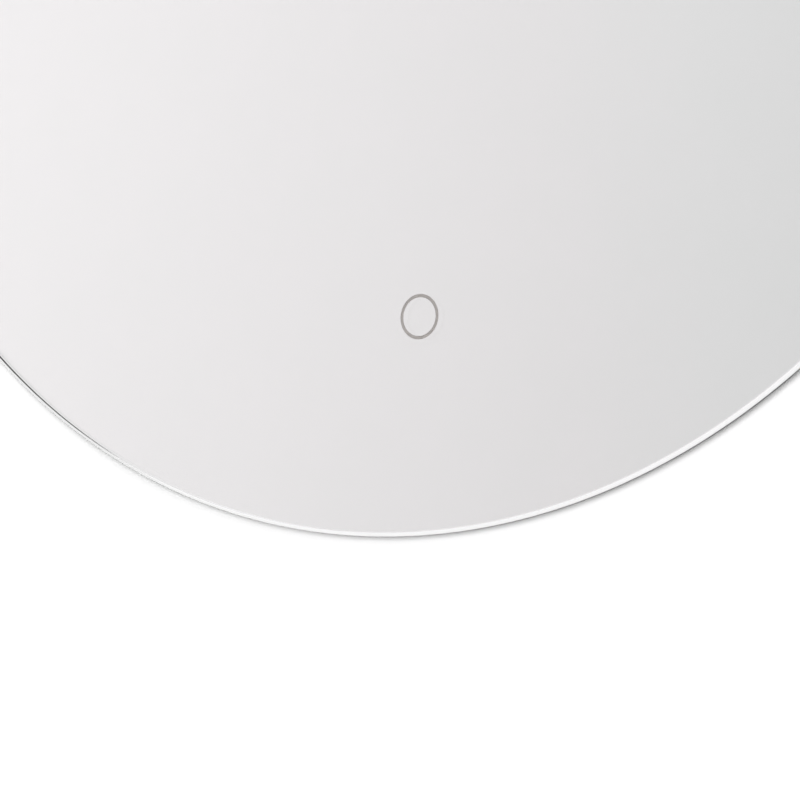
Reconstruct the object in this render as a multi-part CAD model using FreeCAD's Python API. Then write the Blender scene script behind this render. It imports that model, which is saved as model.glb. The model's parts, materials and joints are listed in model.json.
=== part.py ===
"""Round frameless mirror with a backlight, a touch ring and a wall rail.

Millimetres. +Z is up, the mirror faces -Y and the wall is the plane y = 0. The origin is on the wall, at the
centre of the wall rail's screw row. The pieces are drawn about the glass centre and moved down when saved.
"""

import FreeCAD, Part

import math
import os

V = FreeCAD.Vector

# ---- mirror glass and the layers on its back
glass_d = 600.0
glass_t = 4.0
edge_round = 1.8  # radius of the polished edge
silver_t = 0.1
film_t = 0.2
film_inset = 3.0  # film edge inside the silvering's edge

# ---- touch ring
ring_d = 17.8
ring_line = 1.3
ring_above_edge = 85.7  # ring centre above the lowest point of the glass
ring_film_d = 24.0
ring_film_t = 0.1
ring_film_gap = 1.0  # round the ring film, in the safety film

# ---- lamp frame: an aluminium channel ring, open outwards
frame_setback = 38.0  # frame inside the rim of the glass
frame_depth = 18.7
channel_depth = 18.0
flange_t = 1.5
web_t = 2.0
lip_w = 1.2
lip_h = 1.0
land_w = 14.0  # inner land that takes the back plate's screws
frame_butt_gap = 0.6
joint_span = 14.0  # degrees
joint_t = 1.5
joint_h = 10.0
joint_screws = 4

# ---- bonding tape between the glass and the frame
tape_t = 1.0
tape_w = 13.0
tape_pieces = 12
tape_break = 12.0  # gap between two pieces

# ---- backlight
strip_w = 10.0
strip_t = 0.3
strip_end_gap = 10.0
led_count = 96
led_w = 2.8
led_l = 3.5
led_h = 0.8
diffuser_t = 2.0
diffuser_crown = 0.7
feed_angle = -104.5  # where the lead passes the web, from +X towards +Z
feed_grommet_wall = 1.2
sleeve_flange = 1.5
sleeve_flange_t = 1.2
connector_w = 15.0
connector_l = 12.0
connector_h = 4.2
lead_socket = 3.2  # depth of the connector's hole for the lead

# ---- back plate
wall_gap = 10.0
plate_t = 1.0
plate_inset = 4.0  # inside the frame's outer edge
plate_screws = 12
plate_screw_turn = 15.0  # first screw, degrees
bead_inset = 18.0  # pressed ring bead inside the land
bead_half = 6.0
bead_rise = 1.6
rib_l = 120.0
rib_w = 12.0
rib_rise = 1.6
rib_heights = (-62.0, -128.0)
vent_count = 13
vent_w = 3.2
vent_l = 26.0
vent_pitch = 9.5
vent_heights = (58.0, -95.0)

# ---- rails: the mirror's rail hooks behind the lip of the wall rail
rail_above_centre = 110.0  # screw row of the wall rail above the glass centre
rail_l = 220.0
rail_t = 1.5
wall_foot = 14.0  # wall rail below its screw row
wall_shelf = 10.0  # wall rail's shelf above its screw row
wall_lip_gap = 5.0  # wall to the lip
wall_lip = 10.5  # lip above the shelf
hook_room = 1.0  # between the two lips
hook_drop = 8.5  # mirror rail's lip below the top of the wall rail's lip
hook_seat = 0.2
hang_l = 212.0
hang_base = 20.0
hang_rivets = 6
wall_slots = 170.0  # from slot to slot
slot_w = 5.5
slot_l = 12.0
rail_corner = 3.0

# ---- lower spacers
bumper_angle = 50.6  # degrees below the horizontal
bumper_inset = 12.8  # clear of the ring bead
bumper_d = 20.0
bumper_nose = 17.0
bumper_taper = 3.0
bumper_well_d = 10.0
bumper_well = 6.5

# ---- supply terminals
terminal_x = -105.0
terminal_z = -15.0
opening_w = 84.0
opening_h = 54.0
opening_r = 5.0
box_fit = 0.3
box_depth = 16.0
box_wall = 1.6
box_flange = 8.0
cover_h = 3.6
cover_wall = 1.6
cover_screw_inset = 4.2
block_x = 15.0  # block centre from the box centre
block_w = 42.0
block_h = 22.0
block_d = 11.0
block_pitch = 12.0
block_poles = 3
block_ridge = 1.4  # width and height of the walls between the poles
core_hole_d = 4.0
inlet_x = -26.0  # inlet centre from the box centre
inlet_bore_d = 8.5
inlet_neck_d = 13.0
inlet_flange_d = 17.0
inlet_flange_t = 1.6

# ---- light driver
driver_x = 45.0
driver_z = -15.0
driver_w = 160.0
driver_h = 46.0
driver_d = 15.2
driver_wall = 1.6
driver_corner = 4.0
driver_lid_t = 1.6
lid_rim_t = 1.0
lid_rim_h = 1.5
driver_ear = 9.0
board_t = 1.6
board_post = 3.0
board_post_r = 3.0
board_fit = 0.6
core_x = 8.0  # transformer from the middle of the board
core_w = 26.0
core_h = 21.0
core_d = 7.4
coil_w = 17.0
coil_h = 26.5
coil_d = 6.4
coil_corner = 3.0
cap_x = -40.0  # capacitors from the middle of the board
cap_d = 8.0
cap_l = 7.0
cap_pitch = 12.0
cap_count = 3

# ---- touch switch behind the ring
sensor_w = 44.0
sensor_h = 34.0
sensor_d = 9.0
sensor_wall = 1.5
sensor_corner = 3.0
sensor_tape_t = 0.5
sensor_tape_w = 3.0
sensor_post = 1.6
sensor_post_r = 2.2
guide_wall = 3.0
guide_over = 1.2  # light guide outside the ring line
electrode_gap = 0.6
lamp_count = 4
lamp_w = 1.6
lamp_t = 0.6

# ---- inner leads, their clips and the earth point
lead_rise = 1.0  # leads off the plate, on their clips
mains_lead_d = 5.0
feed_lead_d = 3.6
strip_lead_d = 3.2
earth_lead_d = 2.6
lead_fit = 0.2
clip_w = 10.0
clip_l = 8.0
clip_arm = 1.2
earth_from_box = -16.0  # earth point left of the box centre
earth_drop = 38.0  # earth point below the tray
earth_tag_w = 8.0
earth_tag_t = 0.8
earth_barrel_wall = 0.7
earth_barrel_l = 6.0

# ---- screws and rivets
screw_head_r = 3.8
screw_head_h = 2.2
screw_r = 2.0
screw_l = 5.0
small_head_r = 2.6
small_head_h = 1.5
small_screw_r = 1.4
hole_play = 0.25
recess_w = 0.9
recess_deep = 1.2
rivet_head_r = 3.2
rivet_head_h = 1.0
rivet_r = 1.6
touch_gap = 0.05  # between curved faces of pieces that are pressed, stuck or snapped together

# ---- places that follow
glass_r = glass_d / 2
flat_r = glass_r - edge_round
ring_z = ring_above_edge - glass_r
plate_rear = -wall_gap
plate_front = plate_rear - plate_t
frame_front = plate_front - frame_depth
film_rear = frame_front - tape_t
film_front = film_rear - film_t
silver_front = film_front - silver_t
glass_front = silver_front - glass_t

frame_r = glass_r - frame_setback
web_out = frame_r - channel_depth
web_in = web_out - web_t
land_in = web_in - land_w
screw_ring = web_in - land_w / 2
channel_y = (frame_front + plate_front) / 2
plate_r = frame_r - plate_inset
bead_r = land_in - bead_inset
bumper_ring = bead_r - bead_half - bumper_inset - bumper_d / 2
bumper_x = bumper_ring * math.cos(math.radians(bumper_angle))
bumper_z = -bumper_ring * math.sin(math.radians(bumper_angle))
strip_r = web_out + touch_gap
led_r = strip_r + strip_t + touch_gap

hook_top = rail_above_centre + wall_shelf + wall_lip + hook_seat
lip_front = -wall_lip_gap - rail_t
hook_rear = -wall_lip_gap + hook_room + rail_t

box_w = opening_w - 2 * box_fit
box_h = opening_h - 2 * box_fit
box_floor = plate_front - box_depth
box_rim = plate_rear + box_wall
cover_rear = box_rim + cover_h
flange_w = opening_w + 2 * box_flange
flange_h = opening_h + 2 * box_flange

driver_front = plate_front - driver_d
board_rear = plate_front - driver_wall - board_post
board_front = board_rear - board_t
sensor_front = film_rear + sensor_tape_t
sensor_rear = sensor_front + sensor_d
sensor_board_front = sensor_rear - sensor_wall - sensor_post - board_t
guide_r = ring_d / 2 + guide_over

mains_y = plate_front - box_depth / 2
earth_x = terminal_x + earth_from_box
earth_z = terminal_z - box_h / 2 - earth_drop
earth_barrel_y = plate_front - earth_lead_d / 2 - earth_barrel_wall

OUT = V(0, 1, 0)
TURN = V(0, -1, 0)
SIDE = V(1, 0, 0)
UP = V(0, 0, 1)
ARC_SHARE = 0.45
BORE_SPARE = 1.0  # a cutting tool runs this far past the faces it cuts


# ================================================================ shapes


def box(x0, x1, y0, y1, z0, z1):
    return Part.makeBox(x1 - x0, y1 - y0, z1 - z0, V(x0, y0, z0))


def block(x, z, w, h, y0, y1):
    return box(x - w / 2, x + w / 2, y0, y1, z - h / 2, z + h / 2)


def rod(x, z, r, y0, y1):
    """Round bar along Y."""
    return Part.makeCylinder(r, y1 - y0, V(x, y0, z), OUT)


def rounded(x, z, w, h, r, y0, y1):
    """Block with four round corners, centred on (x, z)."""
    plain = block(x, z, w, h, y0, y1)
    return plain.makeFillet(r, [e for e in plain.Edges if abs(e.tangentAt(0).y) > 0.9])


def slot(x, z, w, h, y0, y1):
    """Block whose long side ends in half rounds."""
    return rounded(x, z, w, h, min(w, h) / 2 - 0.001, y0, y1)


def outward(shape):
    return shape if shape.Volume > 0 else shape.reversed()


def outline_face(lines):
    return Part.Face(Part.Wire([line.toShape() for line in lines]))


def turned_face(face, start=0.0, sweep=360.0):
    face.rotate(V(), TURN, start)
    return outward(face.revolve(V(), TURN, sweep))


def turned(profile, start=0.0, sweep=360.0):
    """Outline of (radius, y) points turned about the glass centre, from one angle through another."""
    corners = [V(r, y, 0) for r, y in profile]
    return turned_face(Part.Face(Part.makePolygon(corners + corners[:1])), start, sweep)


def hoop(r0, r1, y0, y1, start=0.0, sweep=360.0):
    return turned([(r0, y0), (r1, y0), (r1, y1), (r0, y1)], start, sweep)


def polar(r, angle):
    return r * math.cos(math.radians(angle)), r * math.sin(math.radians(angle))


def arc_angle(length, r):
    return math.degrees(length / r)


def spin(shape, angle):
    """A piece drawn on the +X side, carried round the glass centre."""
    shape.rotate(V(), TURN, angle)
    return shape


def moved(shape, x, y, z):
    shape.translate(V(x, y, z))
    return shape


def bar_x(middle, r, length):
    """Round bar along X, centred on a point."""
    return Part.makeCylinder(r, length, middle - SIDE * length / 2, SIDE)


def holes(places, r, y0, y1):
    """Cutting tools along Y that run past both faces."""
    return [rod(x, z, r, y0 - BORE_SPARE, y1 + BORE_SPARE) for x, z in places]


def radial_hole(r, y, angle, hole_r, length):
    """Bar along a radius, its middle at the given radius."""
    return spin(Part.makeCylinder(hole_r, length, V(r - length / 2, y, 0), SIDE), angle)


def cut_all(shape, tools):
    return shape.cut(Part.makeCompound(tools))


def save(name, *solids):
    """Writes one node, moved so that the origin is at the wall rail's screws."""
    shape = Part.makeCompound(solids) if len(solids) > 1 else solids[0].copy()
    shape.translate(UP * -rail_above_centre)
    shape.exportStep(f"parts/{name}.step")


# ================================================================ fasteners, at the origin, head towards +Y


def screw(head_r, head_h, shank_r, length):
    """Pan-head screw with a cross recess."""
    flat = head_r * 0.3
    dome = [
        Part.LineSegment(V(0, 0, 0), V(head_r, 0, 0)),
        Part.LineSegment(V(head_r, 0, 0), V(head_r, head_h / 2, 0)),
        Part.Arc(V(head_r, head_h / 2, 0), V(head_r * 0.75, head_h * 0.88, 0), V(flat, head_h, 0)),
        Part.LineSegment(V(flat, head_h, 0), V(0, head_h, 0)),
        Part.LineSegment(V(0, head_h, 0), V(0, 0, 0)),
    ]
    head = turned_face(outline_face(dome))
    tip = shank_r / 2
    shank = turned([(0, 0), (shank_r, 0), (shank_r, tip - length), (tip, -length), (0, -length)])
    across = head_r * 0.6
    deep = min(recess_deep, head_h * 0.6)
    cross = [
        block(0, 0, 2 * across, recess_w, head_h - deep, head_h + BORE_SPARE),
        block(0, 0, recess_w, 2 * across, head_h - deep, head_h + BORE_SPARE),
    ]
    return cut_all(head.fuse(shank), cross)


def big_screw(length=screw_l):
    return screw(screw_head_r, screw_head_h, screw_r, length)


def small_screw(length):
    return screw(small_head_r, small_head_h, small_screw_r, length)


def rivet(grip):
    """Blind rivet: a domed head with the hole that its pin left, and a bulb past the grip."""
    pin_r = rivet_r / 2
    bulb_r = rivet_r * 1.5
    tail = -grip - 2 * rivet_r
    edge = V(rivet_head_r, rivet_head_h * 0.25, 0)
    crown = V(pin_r, rivet_head_h, 0)
    outline = [
        Part.LineSegment(V(rivet_head_r, 0, 0), edge),
        Part.Arc(edge, V(rivet_head_r * 0.72, rivet_head_h * 0.75, 0), crown),
        Part.LineSegment(crown, V(pin_r, 0, 0)),
        Part.LineSegment(V(pin_r, 0, 0), V(0, 0, 0)),
        Part.LineSegment(V(0, 0, 0), V(0, tail, 0)),
        Part.LineSegment(V(0, tail, 0), V(bulb_r, tail, 0)),
        Part.LineSegment(V(bulb_r, tail, 0), V(bulb_r, -grip, 0)),
        Part.LineSegment(V(bulb_r, -grip, 0), V(rivet_r, -grip, 0)),
        Part.LineSegment(V(rivet_r, -grip, 0), V(rivet_r, 0, 0)),
        Part.LineSegment(V(rivet_r, 0, 0), V(rivet_head_r, 0, 0)),
    ]
    return turned_face(outline_face(outline))


# ================================================================ glass


def mirror_glass():
    rear = silver_front
    shoulder = edge_round * math.sqrt(0.5)
    bend = flat_r + shoulder
    front_bend = V(bend, glass_front + edge_round - shoulder, 0)
    rear_bend = V(bend, rear - edge_round + shoulder, 0)
    outline = [
        Part.LineSegment(V(0, glass_front, 0), V(flat_r, glass_front, 0)),
        Part.Arc(V(flat_r, glass_front, 0), front_bend, V(glass_r, glass_front + edge_round, 0)),
        Part.LineSegment(V(glass_r, glass_front + edge_round, 0), V(glass_r, rear - edge_round, 0)),
        Part.Arc(V(glass_r, rear - edge_round, 0), rear_bend, V(flat_r, rear, 0)),
        Part.LineSegment(V(flat_r, rear, 0), V(0, rear, 0)),
        Part.LineSegment(V(0, rear, 0), V(0, glass_front, 0)),
    ]
    return turned_face(outline_face(outline))


def mirror_silvering():
    """The silvered back, and the small disc that is left inside the ring window."""
    layer = rod(0, 0, flat_r, silver_front, film_front)
    window = rod(0, ring_z, ring_d / 2, silver_front - BORE_SPARE, film_front + BORE_SPARE)
    inside = rod(0, ring_z, ring_d / 2 - ring_line, silver_front, film_front)
    return layer.cut(window), inside


def touch_ring_film():
    return rod(0, ring_z, ring_film_d / 2, film_front, film_front + ring_film_t)


def safety_film():
    layer = rod(0, 0, flat_r - film_inset, film_front, film_rear)
    hole_r = ring_film_d / 2 + ring_film_gap
    return layer.cut(rod(0, ring_z, hole_r, film_front - BORE_SPARE, film_rear + BORE_SPARE))


def bonding_tape():
    middle = (frame_r + web_in) / 2
    pitch = 360 / tape_pieces
    sweep = pitch - arc_angle(tape_break, middle)
    pieces = []
    for i in range(tape_pieces):
        start = i * pitch - sweep / 2
        pieces.append(hoop(middle - tape_w / 2, middle + tape_w / 2, film_rear, frame_front, start, sweep))
    return pieces


# ================================================================ lamp frame and backlight


def joint_angles():
    step = joint_span / joint_screws
    return [-90 + (i - (joint_screws - 1) / 2) * step for i in range(joint_screws)]


def plate_screw_places():
    return [polar(screw_ring, plate_screw_turn + i * 360 / plate_screws) for i in range(plate_screws)]


def frame_ring():
    front = frame_front
    rear = plate_front
    lip_r = frame_r - lip_w
    profile = [
        (web_in, front),
        (frame_r, front),
        (frame_r, front + flange_t + lip_h),
        (lip_r, front + flange_t + lip_h),
        (lip_r, front + flange_t),
        (web_out, front + flange_t),
        (web_out, rear - flange_t),
        (lip_r, rear - flange_t),
        (lip_r, rear - flange_t - lip_h),
        (frame_r, rear - flange_t - lip_h),
        (frame_r, rear),
        (land_in, rear),
        (land_in, rear - flange_t),
        (web_in, rear - flange_t),
    ]
    butt = arc_angle(frame_butt_gap, frame_r)
    ring = turned(profile, -90 + butt / 2, 360 - butt)
    middle = (web_in + web_out) / 2
    through = web_t + 2 * BORE_SPARE
    thread_r = small_screw_r + touch_gap
    tools = holes(plate_screw_places(), screw_r + touch_gap, rear - flange_t, rear)
    tools += [radial_hole(middle, channel_y, angle, thread_r, through) for angle in joint_angles()]
    tools.append(radial_hole(middle, channel_y, feed_angle, feed_hole_r(), through))
    return cut_all(ring, tools)


def feed_hole_r():
    return strip_lead_d / 2 + lead_fit + feed_grommet_wall


def frame_joint_plate():
    outer = web_in - touch_gap
    half = joint_h / 2
    plate = hoop(outer - joint_t, outer, channel_y - half, channel_y + half, -90 - joint_span / 2, joint_span)
    middle = outer - joint_t / 2
    through = joint_t + 2 * BORE_SPARE
    tools = [radial_hole(middle, channel_y, a, small_screw_r + hole_play, through) for a in joint_angles()]
    return cut_all(plate, tools)


def frame_joint_screws():
    """Heads inside the ring, tips flush with the floor of the channel."""
    seat = web_in - 2 * touch_gap - joint_t
    pieces = []
    for angle in joint_angles():
        piece = small_screw(web_out - touch_gap - seat)
        piece.rotate(V(), UP, 90)
        pieces.append(spin(moved(piece, seat, channel_y, 0), angle))
    return pieces


def led_strip():
    half = strip_w / 2
    gap = arc_angle(strip_end_gap, strip_r)
    start = feed_angle + gap / 2
    return hoop(strip_r, strip_r + strip_t, channel_y - half, channel_y + half, start, 360 - gap)


def led_chips():
    gap = arc_angle(strip_end_gap + connector_l * 2, strip_r)
    step = (360 - gap) / led_count
    pieces = []
    for i in range(led_count):
        chip = box(led_r, led_r + led_h, channel_y - led_l / 2, channel_y + led_l / 2, -led_w / 2, led_w / 2)
        pieces.append(spin(chip, feed_angle + gap / 2 + (i + 0.5) * step))
    return pieces


def strip_connector():
    """Clip over the start of the strip, where the lead comes through the web."""
    floor = strip_r + strip_t + touch_gap
    half = connector_w / 2
    near = arc_angle(strip_end_gap / 2, strip_r)
    far = arc_angle(strip_end_gap / 2 + connector_l, strip_r)
    body = hoop(floor, floor + connector_h, channel_y - half, channel_y + half, feed_angle - near, near + far)
    mouth = radial_hole(floor, channel_y, feed_angle, strip_lead_d / 2 + lead_fit, 2 * lead_socket)
    return body.cut(mouth)


def light_diffuser():
    """Opal band snapped in behind the lips, a little bowed outwards between them."""
    outer = frame_r - lip_w - touch_gap
    inner = outer - diffuser_t
    front = frame_front + flange_t + touch_gap
    rear = plate_front - flange_t - touch_gap
    front_lip = front + lip_h + touch_gap
    rear_lip = rear - lip_h - touch_gap
    crown = outer + diffuser_crown
    outline = [
        Part.LineSegment(V(inner, front, 0), V(outer, front, 0)),
        Part.LineSegment(V(outer, front, 0), V(outer, front_lip, 0)),
        Part.Arc(V(outer, front_lip, 0), V(crown, channel_y, 0), V(outer, rear_lip, 0)),
        Part.LineSegment(V(outer, rear_lip, 0), V(outer, rear, 0)),
        Part.LineSegment(V(outer, rear, 0), V(inner, rear, 0)),
        Part.LineSegment(V(inner, rear, 0), V(inner, front, 0)),
    ]
    return turned_face(outline_face(outline))


# ================================================================ back plate


def dimple(z, w, h, y0, y1):
    """Rounded block whose far end is bevelled."""
    pad = slot(0, z, w, h, y0, y1)
    return pad.makeChamfer(rib_rise * 0.9, [e for e in pad.Edges if abs(e.CenterOfMass.y - y1) < 1e-6])


def pressed_rib(plate, z):
    """A long dimple pressed towards the wall, the sheet as thick on its slopes as elsewhere."""
    outside = dimple(z, rib_l, rib_w, plate_front, plate_rear + rib_rise)
    inside = dimple(z, rib_l - plate_t, rib_w - plate_t, plate_front - plate_t, plate_front + rib_rise)
    return plate.fuse(outside).cut(inside)


def hang_rivet_places():
    z = hook_top + rail_t + (hang_base - rail_t) / 2
    step = hang_l / hang_rivets
    return [((i - (hang_rivets - 1) / 2) * step, z) for i in range(hang_rivets)]


def bumper_places():
    return [(-bumper_x, bumper_z), (bumper_x, bumper_z)]


def cover_screw_places():
    reach = flange_w / 2 - cover_screw_inset
    return [(terminal_x - reach, terminal_z), (terminal_x + reach, terminal_z)]


def driver_screw_places():
    reach = driver_w / 2 + driver_ear / 2
    return [(driver_x - reach, driver_z), (driver_x + reach, driver_z)]


def back_plate():
    low = 0.414 * plate_t  # keeps the sheet's thickness on the bead's 45 degree slopes
    inner = bead_r - bead_half
    outer = bead_r + bead_half
    top = plate_rear + bead_rise
    under = plate_front + bead_rise
    profile = [
        (0, plate_rear),
        (inner, plate_rear),
        (inner + bead_rise, top),
        (outer - bead_rise, top),
        (outer, plate_rear),
        (plate_r, plate_rear),
        (plate_r, plate_front),
        (outer - low, plate_front),
        (outer - bead_rise - low, under),
        (inner + bead_rise + low, under),
        (inner + low, plate_front),
        (0, plate_front),
    ]
    plate = turned(profile)
    for z in rib_heights:
        plate = pressed_rib(plate, z)
    y0 = plate_front - BORE_SPARE
    y1 = plate_rear + BORE_SPARE
    tools = holes(plate_screw_places() + bumper_places(), screw_r + hole_play, plate_front, plate_rear)
    tools += holes(hang_rivet_places(), rivet_r + touch_gap, plate_front, plate_rear)
    small_places = driver_screw_places() + cover_screw_places()
    tools += holes(small_places, small_screw_r + touch_gap, plate_front, plate_rear)
    tools += holes([(earth_x, earth_z)], screw_r + touch_gap, plate_front, plate_rear)
    tools.append(rounded(terminal_x, terminal_z, opening_w, opening_h, opening_r, y0, y1))
    for z in vent_heights:
        for i in range(vent_count):
            tools.append(slot((i - (vent_count - 1) / 2) * vent_pitch, z, vent_w, vent_l, y0, y1))
    return cut_all(plate, tools)


def back_plate_screws():
    return [moved(big_screw(), x, plate_rear, z) for x, z in plate_screw_places()]


# ================================================================ rails and spacers


def z_rail(length, outline):
    """Bent sheet of one (y, z) outline, along X."""
    corners = [V(-length / 2, y, z) for y, z in outline]
    face = Part.Face(Part.makePolygon(corners + corners[:1]))
    return outward(face.extrude(SIDE * length))


def cornered(rail, edges_at):
    """Round the free corners of a bent sheet, seen from behind."""
    edges = []
    for edge in rail.Edges:
        middle = edge.CenterOfMass
        if abs(edge.tangentAt(0).y) > 0.9 and edge.Length < rail_t * 1.01 and edges_at(middle):
            edges.append(edge)
    return rail.makeFillet(rail_corner, edges)


def wall_rail():
    foot = rail_above_centre - wall_foot
    shelf = rail_above_centre + wall_shelf
    top = shelf + wall_lip
    outline = [
        (0, foot),
        (-rail_t, foot),
        (-rail_t, shelf),
        (lip_front, shelf),
        (lip_front, top),
        (-wall_lip_gap, top),
        (-wall_lip_gap, shelf + rail_t),
        (0, shelf + rail_t),
    ]
    rail = z_rail(rail_l, outline)
    rail = cornered(rail, lambda p: p.z < foot + 1 or p.z > top - 1)
    for x in (-wall_slots / 2, wall_slots / 2):
        rail = rail.cut(slot(x, rail_above_centre, slot_l, slot_w, -rail_t - BORE_SPARE, BORE_SPARE))
    return rail


def hanging_rail():
    """Riveted to the back plate. Its lip hangs behind the lip of the wall rail."""
    base_rear = plate_rear + rail_t
    low = hook_top - hook_seat - hook_drop
    high = hook_top + hang_base
    outline = [
        (plate_rear, high),
        (plate_rear, hook_top),
        (hook_rear - rail_t, hook_top),
        (hook_rear - rail_t, low),
        (hook_rear, low),
        (hook_rear, hook_top + rail_t),
        (base_rear, hook_top + rail_t),
        (base_rear, high),
    ]
    rail = z_rail(hang_l, outline)
    rail = cornered(rail, lambda p: p.z < low + 1 or p.z > high - 1)
    return cut_all(rail, holes(hang_rivet_places(), rivet_r + touch_gap, plate_rear, base_rear))


def hanging_rail_rivets():
    return [moved(rivet(rail_t + plate_t), x, plate_rear + rail_t, z) for x, z in hang_rivet_places()]


def wall_bumpers():
    profile = [
        (screw_r + hole_play, plate_rear),
        (bumper_d / 2, plate_rear),
        (bumper_d / 2, -bumper_taper),
        (bumper_nose / 2, 0),
        (bumper_well_d / 2, 0),
        (bumper_well_d / 2, -bumper_well),
        (screw_r + hole_play, -bumper_well),
    ]
    return [moved(turned(profile), x, 0, z) for x, z in bumper_places()]


def bumper_screws():
    length = wall_gap - bumper_well + screw_l
    return [moved(big_screw(length), x, -bumper_well, z) for x, z in bumper_places()]


# ================================================================ supply terminals


def block_place():
    return terminal_x + block_x, terminal_z


def inlet_place():
    return terminal_x + inlet_x, terminal_z


def mains_hole(x):
    """Cutting tool through an upright wall, for the lead from the terminals to the driver."""
    return bar_x(V(x, mains_y, driver_z), mains_lead_d / 2 + lead_fit, 4 * box_wall)


def earth_start():
    return V(earth_x, mains_y, terminal_z - box_h / 2)


def terminal_box():
    """Plastic tray through the opening of the plate, its flange on the wall side."""
    tray = rounded(terminal_x, terminal_z, box_w, box_h, opening_r - box_fit, box_floor, plate_rear)
    flange = rounded(terminal_x, terminal_z, flange_w, flange_h, opening_r + box_flange, plate_rear, box_rim)
    hollow = terminal_hollow(box_floor + box_wall, box_rim + 1)
    start = earth_start()
    earth = Part.makeCylinder(earth_lead_d / 2 + lead_fit, 4 * box_wall, start - UP * 2 * box_wall, UP)
    tools = [hollow, mains_hole(terminal_x + box_w / 2), earth]
    tools += holes(cover_screw_places(), small_screw_r + hole_play, plate_rear, box_rim)
    return cut_all(tray.fuse(flange), tools)


def terminal_hollow(y0, y1):
    """The room inside the tray, which runs on into the cover."""
    w = box_w - 2 * box_wall
    h = box_h - 2 * box_wall
    return rounded(terminal_x, terminal_z, w, h, opening_r - box_fit - box_wall, y0, y1)


def terminal_cover():
    lid = rounded(terminal_x, terminal_z, flange_w, flange_h, opening_r + box_flange, box_rim, cover_rear)
    hollow = terminal_hollow(box_rim - 1, cover_rear - cover_wall)
    tools = [hollow]
    tools += holes([inlet_place()], inlet_neck_d / 2 + touch_gap, box_rim, cover_rear)
    tools += holes(cover_screw_places(), small_screw_r + hole_play, box_rim, cover_rear)
    lid = lid.makeChamfer(1.0, [e for e in lid.Edges if abs(e.CenterOfMass.y - cover_rear) < 1e-6])
    return cut_all(lid, tools)


def terminal_cover_screws():
    length = cover_h + box_wall + 3 * plate_t
    return [moved(small_screw(length), x, cover_rear, z) for x, z in cover_screw_places()]


def cable_grommet():
    """Rubber inlet in the cover: two flanges and a neck round the cable's bore."""
    x, z = inlet_place()
    bore = inlet_bore_d / 2
    inner = cover_rear - cover_wall - touch_gap
    outer = cover_rear + touch_gap
    profile = [
        (bore, inner - inlet_flange_t),
        (inlet_flange_d / 2, inner - inlet_flange_t),
        (inlet_flange_d / 2, inner),
        (inlet_neck_d / 2, inner),
        (inlet_neck_d / 2, outer),
        (inlet_flange_d / 2, outer),
        (inlet_flange_d / 2 - inlet_flange_t / 2, outer + inlet_flange_t),
        (bore, outer + inlet_flange_t),
    ]
    return moved(turned(profile), x, 0, z)


def block_screw_places():
    x, z = block_place()
    rows = (z - block_h / 4, z + block_h / 4)
    return [(x + (i - (block_poles - 1) / 2) * block_pitch, row) for i in range(block_poles) for row in rows]


def terminal_block():
    x, z = block_place()
    floor = box_floor + box_wall
    top = floor + block_d
    body = block(x, z, block_w, block_h, floor, top)
    ridges = [block(a, z, block_ridge, block_h, top, top + block_ridge) for a in pole_walls()]
    tools = []
    for i in range(block_poles):
        a = x + (i - (block_poles - 1) / 2) * block_pitch
        start = V(a, floor + block_d / 2, z - block_h / 2 - 1)
        tools.append(Part.makeCylinder(core_hole_d / 2, block_h + 2, start, UP))
    well = small_head_r + hole_play
    tools += [rod(a, b, well, floor + block_d / 2, top + 2 * block_ridge) for a, b in block_screw_places()]
    return cut_all(body.multiFuse(ridges), tools)


def pole_walls():
    x, _ = block_place()
    return [x + (i - block_poles / 2) * block_pitch for i in range(block_poles + 1)]


def terminal_screws():
    """Clamping screws in the block, over the core holes."""
    seat = box_floor + box_wall + block_d / 2 + core_hole_d / 2 + 1
    return [moved(small_screw(small_head_r), a, seat, b) for a, b in block_screw_places()]


# ================================================================ light driver


def driver_case():
    """Tray on the inside of the back plate, open towards the glass, with an ear at each end."""
    floor = plate_front - driver_wall
    case = driver_block(0, driver_front, plate_front)
    ears = slot(driver_x, driver_z, driver_w + 2 * driver_ear, driver_ear * 1.4, floor, plate_front)
    hollow = driver_block(driver_wall, driver_front - BORE_SPARE, floor)
    posts = [rod(x, z, board_post_r, board_rear, floor) for x, z in board_post_places()]
    feed = bar_x(feed_start(), feed_lead_d / 2 + lead_fit, 4 * driver_wall)
    tools = [mains_hole(driver_x - driver_w / 2), feed]
    tools += holes(driver_screw_places(), small_screw_r + hole_play, floor, plate_front)
    return cut_all(case.fuse(ears).cut(hollow).multiFuse(posts), tools)


def driver_block(margin, y0, y1):
    """The driver's outline, drawn in by a margin."""
    corner = max(driver_corner - margin, 1.0)
    return rounded(driver_x, driver_z, driver_w - 2 * margin, driver_h - 2 * margin, corner, y0, y1)


def board_post_places():
    w = driver_w / 2 - driver_wall - 2 * board_post_r
    h = driver_h / 2 - driver_wall - 2 * board_post_r
    return [(driver_x + i * w, driver_z + j * h) for i in (-1, 1) for j in (-1, 1)]


def feed_start():
    return V(driver_x + driver_w / 2, mains_y, driver_z)


def driver_lid():
    lid = driver_block(0, driver_front - driver_lid_t, driver_front)
    rim = driver_block(driver_wall + box_fit, driver_front, driver_front + lid_rim_h)
    inside = driver_wall + box_fit + lid_rim_t
    hollow = driver_block(inside, driver_front, driver_front + lid_rim_h + BORE_SPARE)
    return lid.fuse(rim.cut(hollow))


def driver_board():
    return driver_block(driver_wall + board_fit, board_front, board_rear)


def driver_transformer():
    """Core and its winding, standing on the board."""
    x = driver_x + core_x
    core = block(x, driver_z, core_w, core_h, board_front - core_d, board_front)
    room = (core_d - coil_d) / 2
    window_front = board_front - coil_d - room
    window = block(x, driver_z, coil_w + 2 * room, 2 * core_h, window_front, board_front + BORE_SPARE)
    winding = rounded(x, driver_z, coil_w, coil_h, coil_corner, board_front - coil_d, board_front)
    return core.cut(window), winding


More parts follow.
